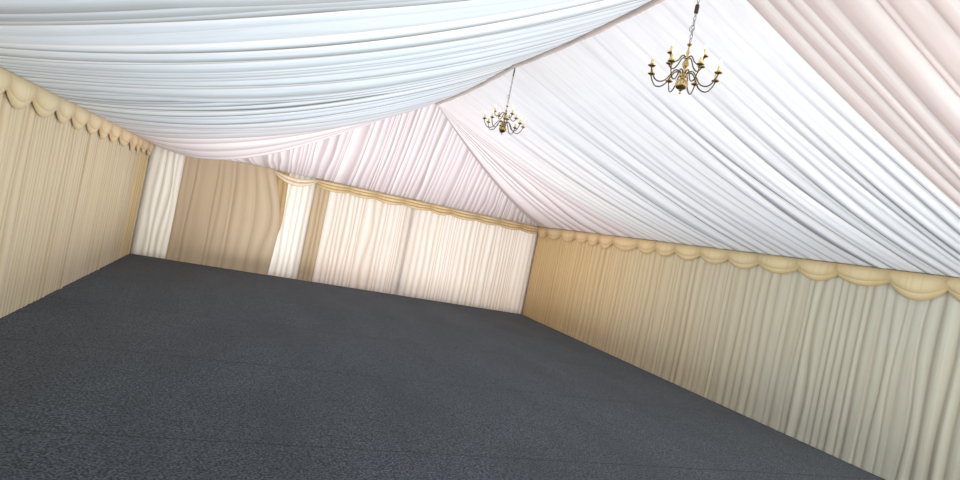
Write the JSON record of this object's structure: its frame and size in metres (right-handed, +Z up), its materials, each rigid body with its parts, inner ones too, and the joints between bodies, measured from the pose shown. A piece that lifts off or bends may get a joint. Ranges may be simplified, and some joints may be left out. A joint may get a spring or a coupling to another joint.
{
  "type": "marquee tent",
  "caption": "pole-free framed marquee with hipped roof, pleated white ceiling lining, swagged wall linings, sheer-curtained end windows and hanging brass chandeliers",
  "frame": {"origin": "centre of the footprint on the ground", "axes": "+Z up, ridge along Y, +Y toward the curtained far end, +X to the right when looking along +Y"},
  "size_m": [9.0046, 18.0046, 3.8621],
  "materials": {
    "roof_pvc": "white coated roof skin",
    "wall_pvc": "white coated wall skin",
    "clear_pane": "clear flexible window",
    "frame_alloy": "mill-finish frame section",
    "ceiling_cloth": "white pleated lining",
    "hip_cloth": "white pleated lining with a pink cast",
    "ivory_cloth": "ivory pleated lining",
    "tan_cloth": "tan pleated curtain",
    "sheer_cloth": "warm white sheer over the windows",
    "gold_cloth": "tan-gold ruched pelmet",
    "carpet_pile": "dark blue-grey carpet",
    "deck_board": "boarded deck",
    "polished_brass": "polished"
  },
  "bodies": {
    "root": {"carpet": "carpet_pile", "ceiling_lining_far": "hip_cloth", "ceiling_lining_left": "ceiling_cloth", "ceiling_lining_near": "hip_cloth", "ceiling_lining_right": "ceiling_cloth", "chandelier_far": "polished_brass", "chandelier_near": "polished_brass", "corner_frame_far_left": "frame_alloy", "corner_frame_far_right": "frame_alloy", "corner_frame_near_left": "frame_alloy", "corner_frame_near_right": "frame_alloy", "eave_rail_far": "frame_alloy", "eave_rail_left": "frame_alloy", "eave_rail_near": "frame_alloy", "eave_rail_right": "frame_alloy", "end_post_far_left": "frame_alloy", "end_post_far_right": "frame_alloy", "end_post_near_left": "frame_alloy", "end_post_near_right": "frame_alloy", "far_curtain_tan": "tan_cloth", "far_post_drape": "tan_cloth", "far_sheer_left": "sheer_cloth", "far_sheer_right": "sheer_cloth", "far_wall": "wall_pvc", "far_window_left": "clear_pane", "far_window_middle": "clear_pane", "far_window_right": "clear_pane", "floor_deck": "deck_board", "near_wall": "wall_pvc", "near_window_left": "clear_pane", "near_window_right": "clear_pane", "pelmet_far": "gold_cloth", "pelmet_left": "ivory_cloth", "pelmet_near": "ivory_cloth", "pelmet_right": "ivory_cloth", "portal_1": "frame_alloy", "portal_2": "frame_alloy", "portal_3": "frame_alloy", "portal_4": "frame_alloy", "ridge_beam": "frame_alloy", "roof_skin_far": "roof_pvc", "roof_skin_left": "roof_pvc", "roof_skin_near": "roof_pvc", "roof_skin_right": "roof_pvc", "side_wall_left": "wall_pvc", "side_wall_right": "wall_pvc", "wall_lining_left": "ivory_cloth", "wall_lining_near": "ivory_cloth", "wall_lining_right": "ivory_cloth"}
  },
  "joints": []
}
